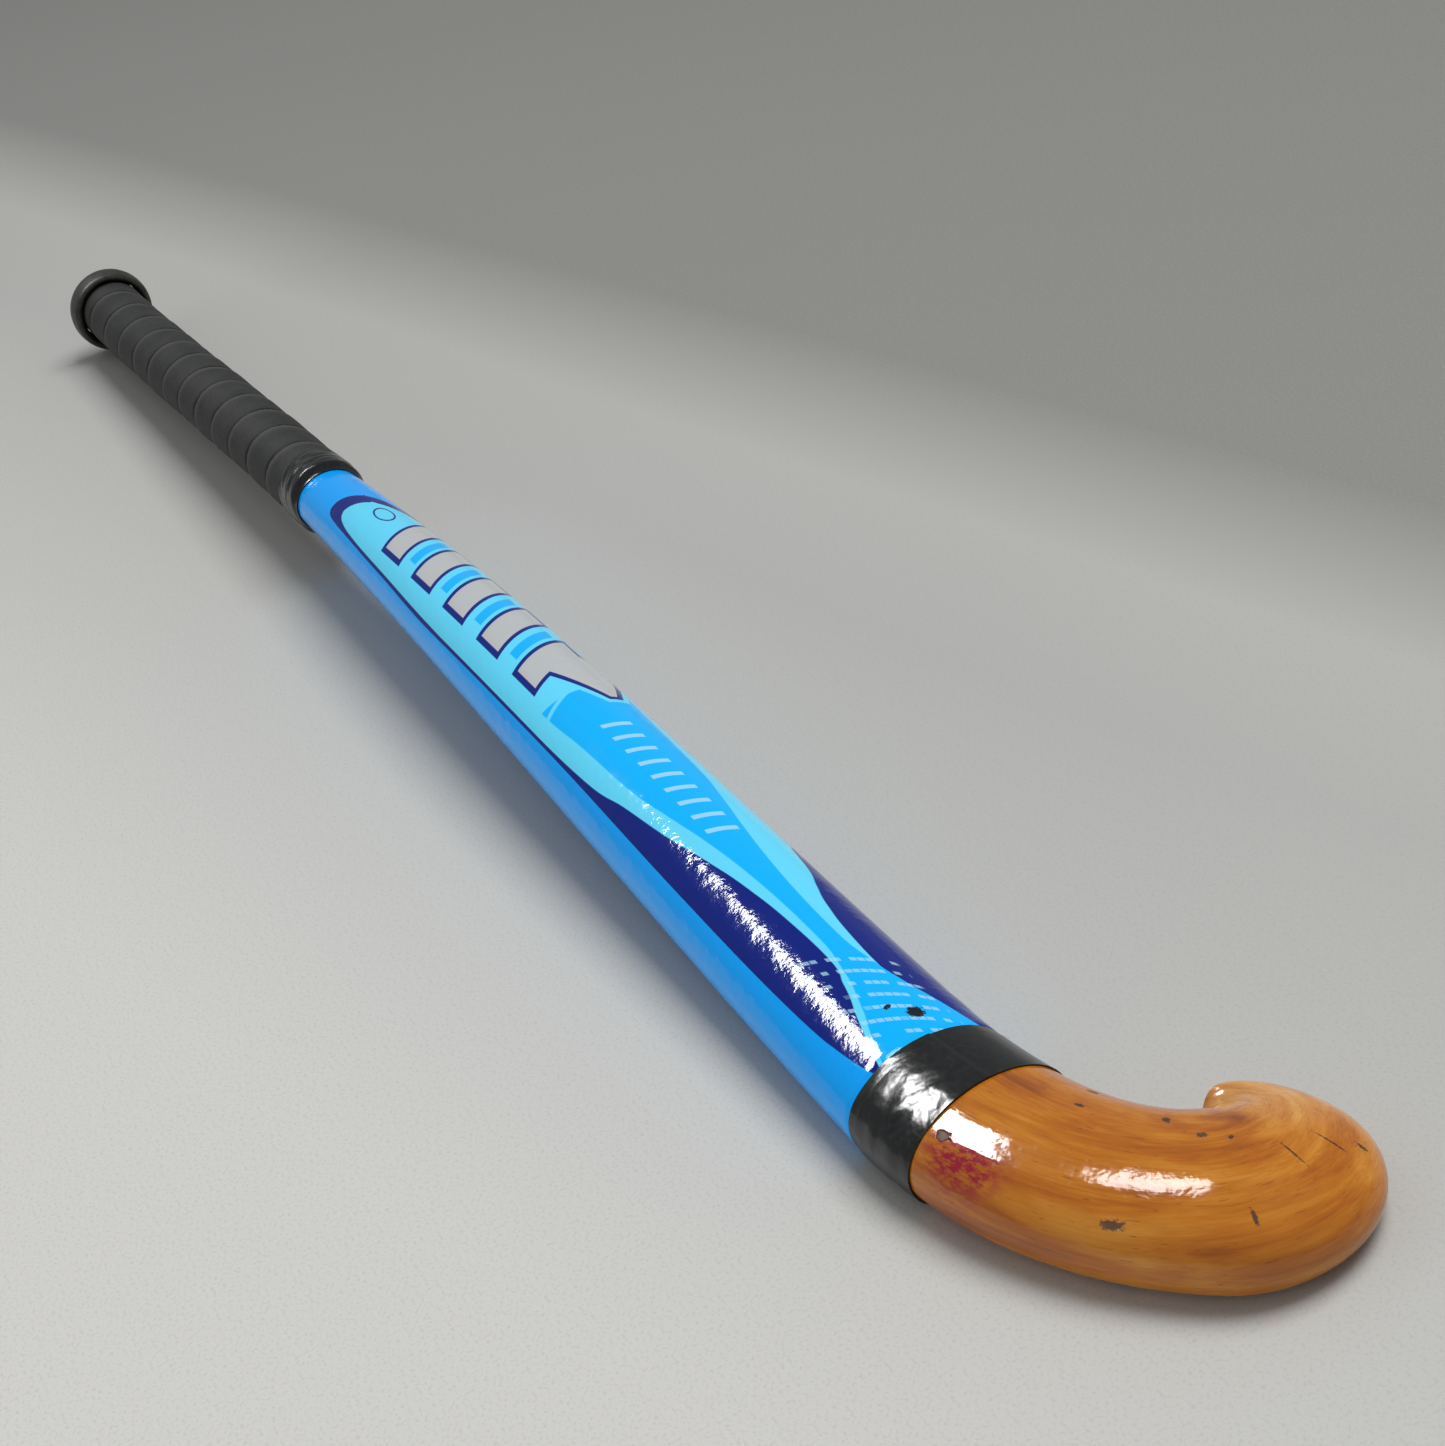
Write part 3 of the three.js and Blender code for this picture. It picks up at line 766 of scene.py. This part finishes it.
def glass_cloth():
    """Resin-soaked plain weave."""
    shade = Shade("glass_cloth")
    place = shade.here()
    x, y, z = shade.split(place)
    warp = shade.math("SINE", shade.mul(x, 2 * math.pi / 2.2))
    weft = shade.math("SINE", shade.mul(shade.add(y, z), 2 * math.pi / 2.2))
    weave = shade.mul(warp, weft)
    colour = shade.ramp(shade.add(shade.mul(weave, 0.5), 0.5), [
        (0.2, srgb(172, 186, 168)),
        (0.8, srgb(214, 222, 206)),
    ])
    return shade.finish(colour, 0.35, shade.bump(weave, 0.08))


# ---- Pieces ----


def film_dip(x):
    return SKIN_INSET + FILM_DIP * smooth((x - TAPE_START + SEAM_RUN) / SEAM_RUN)


def wood_dip(x):
    return SKIN_INSET + WOOD_DIP * smooth((TAPE_END + SEAM_RUN - x) / SEAM_RUN)


def wood_sections():
    """The mulberry from the splice to the tip: under the skins, under the tape, then bare."""
    handle = inset(round_sections(stations(SPLICE_START, GRIP_END, 5), THROAT_HEIGHT), WOOD_DEPTH)
    shaft_x = stations(GRIP_END + GAP, FILM_END, 4)
    shaft = inset(sections(shaft_x), WOOD_DEPTH + film_dip(shaft_x))
    bare_x = stations(FILM_END + GAP, TIP - END_ROUNDING, 2)
    under_tape = np.where(bare_x < TAPE_END - 1, 3 * TAPE_THICKNESS, 0)
    bare = inset(sections(bare_x), np.maximum(under_tape, wood_dip(bare_x)))
    turn = np.radians([20, 40, 55, 68, 78, 85])
    end_x = TIP - END_ROUNDING * (1 - np.sin(turn))
    end = inset(sections(end_x), SKIN_INSET + END_ROUNDING * (1 - np.cos(turn)))
    return joined(handle, shaft, bare, end)


def pick(made, keep):
    return {key: value[keep] for key, value in made.items()}


def add_laminations(material):
    """Strips that share the stick's width, cut back to the V of the splice."""
    whole = wood_sections()
    for i in range(LAMINATION_COUNT):
        low = 2 * i / LAMINATION_COUNT - 1
        high = 2 * (i + 1) / LAMINATION_COUNT - 1
        width = np.linalg.norm(whole["inner"] - whole["outer"], axis=1)
        half = HANDLE_DIAMETER / 2 + SPLICE_SPREAD
        wedge = half * np.clip((SPLICE_TIP - whole["x"]) / SPLICE_LENGTH, 0, 1)
        wedge = np.where(wedge > 0, wedge + GAP, 0) / (width / 2)
        first = np.full_like(width, low)
        last = np.full_like(width, high)
        if i < LAMINATION_COUNT // 2:
            last = np.minimum(last, -wedge)
        elif i > LAMINATION_COUNT // 2:
            first = np.maximum(first, wedge)
        else:
            last = np.where(wedge > 0, first, last)
        keep = last - first > THINNEST_SHARE
        made = pick(whole, keep)
        first, last = first[keep], last[keep]
        hair = GLUE_LINE / width[keep]
        first = np.where(first > -1, first + hair, first)
        last = np.where(last < 1, last - hair, last)
        share = np.linspace(0, 1, LAMINATION_POINTS)
        angle = np.arccos(first)[:, None] * (1 - share) + np.arccos(last)[:, None] * share
        top = surface(made, np.cos(angle), True)
        bottom = surface(made, np.cos(angle), False)
        # The outermost strips have top and bottom meet in one point at the stick's edge
        start = 1 if i == 0 else 0
        stop = LAMINATION_POINTS - (1 if i == LAMINATION_COUNT - 1 else 0)
        ring = np.concatenate([top[:, ::-1], bottom[:, start:stop]], axis=1)
        piece = solid(f"varnished_strip_{i + 1}", ring)
        run = np.repeat(made["x"], ring.shape[1])
        middle = (made["outer"] + made["inner"])[:, None] / 2
        outward = made["inner"] - made["outer"]
        outward = outward / np.linalg.norm(outward, axis=1)[:, None]
        across = ((ring[..., :2] - middle) * outward[:, None]).sum(-1)
        point_attribute(piece, "grain", np.stack([run, across.ravel(), ring[..., 2].ravel()], -1))
        finish_piece(piece, material, "mulberry", f"head_lamination_{i + 1}")


def add_film(material):
    """The film, with x and s in a layer of its own for the print."""
    tight = round_sections(stations(FILM_START, GRIP_END, 8), THROAT_HEIGHT)
    shown = stations(GRIP_END + GAP, TAPE_START, 3)
    x = np.concatenate([shown, stations(TAPE_START + 1, FILM_END, 3)])
    free = inset(sections(x), film_dip(x) + np.where(x > TAPE_START, 2 * TAPE_THICKNESS, 0))
    made = joined(tight, free)
    outside, bore = rings(made), rings(inset(made, FILM_THICKNESS))
    piece = tube("blue_film", outside, bore)
    closed = np.concatenate([outside, outside[:, :1]], axis=1)
    lengths = np.linalg.norm(np.diff(closed, axis=1), axis=2)
    s = np.concatenate([np.zeros((len(lengths), 1)), np.cumsum(lengths, axis=1)], axis=1)
    s = s[:, AROUND // 2][:, None] - s
    layer = piece.data.uv_layers.new(name="place")
    corners = np.zeros((len(piece.data.loops), 2), np.float32)
    rows = 2 * len(outside)
    for polygon in piece.data.polygons:
        ids = [piece.data.loops[k].vertex_index for k in polygon.loop_indices]
        columns = [n % AROUND for n in ids]
        wraps = max(columns) - min(columns) > 1
        for k, n, column in zip(polygon.loop_indices, ids, columns):
            row = n // AROUND
            row = row if row < len(outside) else rows - 1 - row
            column = AROUND if wraps and column == 0 else column
            corners[k] = (made["x"][row], s[row, column])
    layer.data.foreach_set("uv", corners.ravel())
    finish_piece(piece, material, "printed_film", "printed_film")


def add_grip(material):
    """A strip wound round the handle from the butt, each turn's edge over the turn before it."""
    start, end = CAP_LENGTH + GAP, GRIP_END - GAP
    x = stations(start, end, 0.7)
    angle = RING_ANGLES[None, :]
    phase = (x[:, None] - GRIP_PHASE_X) / GRIP_PITCH + angle / (2 * math.pi)
    turn = phase - np.floor(phase)
    crease = 1.5 * np.exp(-((1 - turn) / 0.035) ** 2) + 0.3 * np.exp(-(turn / 0.012) ** 2)
    lump = GRIP_LUMP * np.sin(3 * angle + 1.9 * np.floor(phase))
    overlap = GRIP_STEP * np.cos(turn * math.pi / 2) ** 0.6
    radius = GRIP_DIAMETER / 2 + overlap - GRIP_CREASE * crease + lump
    middle = underside(x)[:, None] + THROAT_HEIGHT / 2
    outside = np.stack([
        np.repeat(x[:, None], AROUND, 1),
        radius * np.cos(angle),
        middle + radius * np.sin(angle),
    ], -1)
    bore_x = stations(start, end, 12)
    over_film = THROAT_HEIGHT + 2 * GAP
    bore = rings(round_sections(bore_x, np.where(bore_x < FILM_START, THROAT_HEIGHT - 1, over_film)))
    piece = tube("spiral_grip", outside, bore)
    turns = np.concatenate([turn.ravel(), np.zeros(bore.shape[0] * AROUND)])
    point_attribute(piece, "turn", np.stack([turns, turns * 0, turns * 0], -1))
    finish_piece(piece, material, "grip_polyurethane", "grip_wrap")


def add_finishing_tape(material):
    """A glossy band over the grip's end, drawn down on to the film."""
    start = HANDLE_LENGTH - FINISHING_TAPE_LENGTH
    x = stations(start, HANDLE_LENGTH, 0.5)
    slope = smooth((x - GRIP_END - GAP) / (FINISHING_TAPE_ON_FILM - GAP))
    wide = round_sections(x, GRIP_OUTSIDE + 2 * GAP + 2 * FINISHING_TAPE_THICKNESS)
    narrow = inset(sections(x), -GAP - FINISHING_TAPE_THICKNESS)
    made = {}
    for key, value in wide.items():
        part = slope[:, None] if value.ndim > 1 else slope
        made[key] = value + (narrow[key] - value) * part
    angle = RING_ANGLES[None, :]
    wrinkle = 0.10 * np.sin(3 * angle + x[:, None] * 0.9)
    wrinkle = wrinkle + 0.07 * np.sin(7 * angle - x[:, None] * 1.7)
    lip = 0.25 * np.exp(-((x - start - 9) / 1.2) ** 2)[:, None]
    outside = rings(inset(made, 0.35))
    centre = outside.mean(axis=1, keepdims=True)
    outward = outside - centre
    outward[..., 0] = 0
    outward /= np.linalg.norm(outward, axis=2)[..., None]
    outside = outside + outward * (wrinkle + lip)[..., None]
    bore = rings(inset(made, 0.9))
    piece = tube("finishing_band", outside, bore)
    finish_piece(piece, material, "vinyl_tape", "grip_finishing_tape")


def turned(profile):
    """Round rings through a profile of (x, radius)."""
    x = np.array([p[0] for p in profile])
    return rings(round_sections(x, np.array([2 * p[1] for p in profile])))


def add_butt_ring(material):
    """The flared ring, hollowed where the grip runs into it."""
    crest, bore_radius = RING_DIAMETER / 2, RING_BORE / 2
    quarter = np.radians(np.arange(0, 91, 15))
    profile = []
    for a in quarter[::-1]:
        drop = 0.35 + RING_EDGE_ROUNDING * (1 - math.cos(a))
        profile.append((RING_EDGE_ROUNDING * (1 - math.sin(a)), crest - drop))
    profile += [(4.5, crest - 0.05), (RING_CREST, crest), (8.5, crest - 0.1)]
    for a in quarter:
        drop = 0.5 + RING_LIP_ROUNDING * (1 - math.cos(a))
        profile.append((RING_LENGTH - RING_LIP_ROUNDING * (1 - math.sin(a)), crest - drop))
    profile += [(RING_LENGTH - 0.5, bore_radius + 1.0), (RING_LENGTH - 2.6, bore_radius + 0.2)]
    bore = rings(round_sections(np.array([0.4, RING_LENGTH - 3]), RING_BORE))
    finish_piece(tube("flared_ring", turned(profile), bore, 50), material, "butt_rubber", "butt_ring")


def add_butt_cap(material):
    """The cap that closes the end, with a groove in its face and a skirt over the handle."""
    radius = GRIP_OUTSIDE / 2
    skirt = THROAT_HEIGHT / 2 - SKIRT_INSET
    profile = [(0.9, 0.4), (0.9, 3.2), (0.0, 4.0), (0.0, 9.6), (0.5, 10.2), (0.5, 10.8), (0.0, 11.4)]
    profile += [(0.0, radius - 1.2), (0.35, radius - 0.35), (1.2, radius)]
    profile += [(CAP_LENGTH / 2, radius), (CAP_LENGTH, radius), (CAP_LENGTH, skirt)]
    profile += [(CAP_FLOOR, skirt), (CAP_FLOOR - 0.2, 0.4)]
    finish_piece(solid("end_cap", turned(profile), 30), material, "butt_rubber", "butt_cap")


def tape_turn(name, start, depth, material, node):
    """One turn of tape whose outer end laps over its start along a line on top of the stick."""
    x = stations(start, start + TAPE_WIDTH, 0.5)
    share = np.arange(TAPE_AROUND) / TAPE_AROUND
    angle = TAPE_SEAM + 2 * math.pi * share
    lap = TAPE_THICKNESS * TAPE_LAP * share
    outside = surface(inset(sections(x), depth), np.cos(angle), np.sin(angle) > 0)
    outward = outside - outside.mean(axis=1, keepdims=True)
    outward /= np.linalg.norm(outward, axis=2)[..., None]
    run = x[:, None] - start
    folds = np.sin(2.2 * angle + 0.35 * run) * np.sin(0.31 * run + 4 * angle)
    folds = folds + 0.5 * np.sin(0.8 * run - 6 * angle)
    near = smooth((-np.cos(angle) - 0.1) * 1.6) * smooth(np.sin(angle) + 0.9)
    dent = TAPE_DENT * (1 - folds * 0.6) * near[None, :]
    outside = outside - outward * (lap[None, :] + dent)[..., None]
    inside = inset(sections(x), depth + 2.2 * TAPE_THICKNESS)
    bore = surface(inside, np.cos(angle), np.sin(angle) > 0)
    finish_piece(tube(name, outside, bore), material, "vinyl_tape", node)


def dress_inner_nodes():
    """The pieces inside keep their CAD shapes and get materials of their own."""
    dresses = [
        (cane, ["cane_left", "cane_middle", "cane_right"]),
        (strip_rubber, ["rubber_strip_left", "rubber_strip_right"]),
        (twine, ["handle_binding"]),
        (glass_cloth, ["glass_layer_inner", "glass_layer_outer"]),
    ]
    for dress, names in dresses:
        material = dress()
        for name in names:
            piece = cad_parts[name]
            piece.data.materials.clear()
            piece.data.materials.append(material)


# ---- Camera, floor and light ----


def direction(bearing, height):
    """A unit vector from a bearing and a height above the floor, both in radians."""
    level = math.cos(height)
    return Vector((level * math.cos(bearing), level * math.sin(bearing), math.sin(height)))


def add_camera():
    place = Vector((0.8945, -0.2316, 0.4804))
    bearing, drop, roll = -0.3201, 0.5296, 0.2975
    forward = -direction(bearing, drop)
    level = forward.cross(Vector((0, 0, 1))).normalized()
    below = forward.cross(level)
    right = level * math.cos(roll) + below * math.sin(roll)
    down = below * math.cos(roll) - level * math.sin(roll)
    data = bpy.data.cameras.new("camera")
    data.lens = 70.45
    data.sensor_width = 36
    camera = bpy.data.objects.new("camera", data)
    bpy.context.scene.collection.objects.link(camera)
    axes = Matrix((right, -down, -forward)).transposed()
    camera.matrix_world = Matrix.Translation(place) @ axes.to_4x4()
    bpy.context.scene.camera = camera


def add_light(name, target, bearing, height, distance, size, power):
    """An area light that shines at target from a bearing and a height, both in degrees."""
    data = bpy.data.lights.new(name, "AREA")
    data.shape = "RECTANGLE"
    data.size, data.size_y = size
    data.energy = power
    light = bpy.data.objects.new(name, data)
    bpy.context.scene.collection.objects.link(light)
    away = direction(math.radians(bearing), math.radians(height))
    light.location = Vector(target) + away * distance
    light.rotation_euler = away.to_track_quat("Z", "Y").to_euler()
    return light


def add_floor():
    mesh = bpy.data.meshes.new("floor")
    half = 14
    corners = [(-half, -half, 0), (half, -half, 0), (half, half, 0), (-half, half, 0)]
    mesh.from_pydata(corners, [], [(0, 1, 2, 3)])
    floor = bpy.data.objects.new("floor", mesh)
    bpy.context.scene.collection.objects.link(floor)
    shade = Shade("floor")
    place = shade.coordinates.outputs["Object"]
    x, y, _ = shade.split(place)
    away = shade.add(shade.mul(x, -0.2), shade.mul(y, 0.98))
    # Painted shade: the floor's colour is pale near the camera and darkens away from it, with a soft
    # step to a dark far part, standing in for the light falling off.
    colour = shade.ramp(shade.step_linear(away, -0.4, 0.6), [
        (0.00, srgb(210, 209, 205)),
        (0.20, srgb(204, 203, 199)),
        (0.32, srgb(190, 190, 186)),
        (0.47, srgb(174, 174, 171)),
        (0.54, srgb(176, 176, 172)),
        (0.62, srgb(134, 135, 131)),
        (1.00, srgb(126, 127, 123)),
    ])
    speck = shade.noise(place, 900, 2, 0.6)
    colour = shade.mix(shade.mul(shade.step(speck, 0.48, 0.72), 0.3), colour, srgb(158, 158, 154))
    normal = shade.bump(speck, 0.05)
    mesh.materials.append(shade.finish(colour, 0.75, normal, specular_ior_level=0.2))


def set_stage():
    add_floor()
    head = (0.36, -0.02, 0.02)
    window = add_light("window", head, -158, 47, 2.0, (0.68, 0.29), 29)
    window_high = add_light("window_high", head, -170, 70, 2.0, (0.54, 0.36), 9)
    softbox = add_light("softbox", (0.1, 0, 0), 82, 65, 3.4, (2.0, 2.0), 102)
    fill = add_light("fill", head, -100, 9, 2.2, (1.2, 0.5), 11)
    for light in (window, window_high):
        light.visible_diffuse = False
    for light in (softbox, fill):
        light.visible_glossy = False
    world = bpy.data.worlds.new("studio")
    world.use_nodes = True
    world.node_tree.nodes["Background"].inputs[0].default_value = (0.97, 0.98, 1.0, 1)
    world.node_tree.nodes["Background"].inputs[1].default_value = 0.28
    bpy.context.scene.world = world
    bpy.context.scene.view_settings.view_transform = "Standard"


def build():
    add_camera()
    set_stage()
    wood = varnished_wood()
    add_laminations(wood)
    add_film(printed_film())
    add_grip(grip_leather())
    add_finishing_tape(vinyl_tape("finishing_vinyl", 0.15))
    rubber = butt_rubber()
    add_butt_ring(rubber)
    add_butt_cap(rubber)
    head_tape = vinyl_tape("head_vinyl", 0.9)
    under = TAPE_THICKNESS * TAPE_LAP
    tape_turn("tape_inner", TAPE_START, under, head_tape, "head_tape_inner_turn")
    tape_turn("tape_outer", TAPE_START + TAPE_SHIFT, 0, head_tape, "head_tape_outer_turn")
    dress_inner_nodes()


build()
